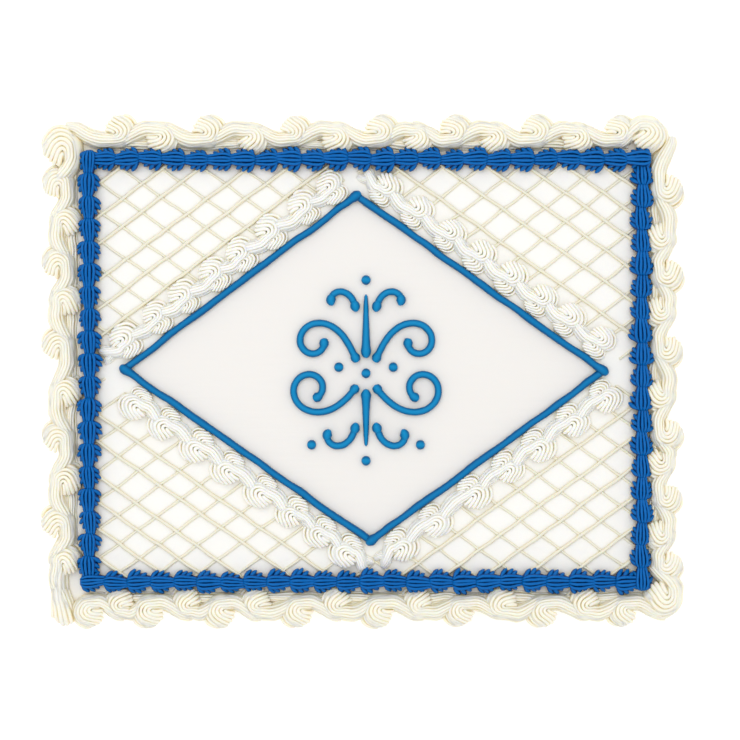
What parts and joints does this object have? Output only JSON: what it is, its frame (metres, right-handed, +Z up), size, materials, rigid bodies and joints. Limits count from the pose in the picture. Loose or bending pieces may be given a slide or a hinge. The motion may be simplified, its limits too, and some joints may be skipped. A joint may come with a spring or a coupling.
{
  "type": "birthday cake",
  "caption": "Rectangular iced sheet cake with piped scroll and shell borders, a piped lattice round a lozenge, and a blue scroll ornament in its middle.",
  "frame": {"origin": "middle of the flat underside that the cake stands on", "axes": "+Z up; +X to the right and +Y to the back of someone who faces the cake from its front long side, so +X is the cake's length and +Y its width"},
  "size_m": [0.4008, 0.3176, 0.0715],
  "materials": {
    "white_icing": "satin buttercream, spread smooth",
    "cream_icing": "satin buttercream, piped",
    "royal_blue_icing": "satin buttercream, piped",
    "bright_blue_icing": "glossy piping gel icing"
  },
  "bodies": {
    "root": {"iced_cake": "white_icing", "cream_border_back": "cream_icing", "cream_border_left": "cream_icing", "cream_border_front": "cream_icing", "cream_border_right": "cream_icing", "blue_shells_back": "royal_blue_icing", "blue_shells_left": "royal_blue_icing", "blue_shells_front": "royal_blue_icing", "blue_shells_right": "royal_blue_icing", "lozenge_scrolls_left_back": "cream_icing", "lozenge_scrolls_right_back": "cream_icing", "lozenge_scrolls_right_front": "cream_icing", "lozenge_scrolls_left_front": "cream_icing", "foot_shells_back": "cream_icing", "foot_shells_left": "cream_icing", "foot_shells_front": "cream_icing", "foot_shells_right": "cream_icing", "lozenge_line_back": "bright_blue_icing", "lozenge_line_left": "bright_blue_icing", "lozenge_line_front": "bright_blue_icing", "lozenge_line_right": "bright_blue_icing", "ornament_plume_right": "bright_blue_icing", "ornament_plume_left": "bright_blue_icing", "ornament_leaf_right": "bright_blue_icing", "ornament_leaf_left": "bright_blue_icing", "ornament_sweep_right": "bright_blue_icing", "ornament_sweep_left": "bright_blue_icing", "ornament_curl_right": "bright_blue_icing", "ornament_curl_left": "bright_blue_icing", "ornament_upper_drop": "bright_blue_icing", "ornament_lower_drop": "bright_blue_icing", "ornament_dot_0": "bright_blue_icing", "ornament_dot_1": "bright_blue_icing", "ornament_dot_2": "bright_blue_icing", "ornament_dot_3": "bright_blue_icing", "ornament_dot_4": "bright_blue_icing", "ornament_dot_5": "bright_blue_icing", "ornament_dot_6": "bright_blue_icing"}
  },
  "joints": []
}
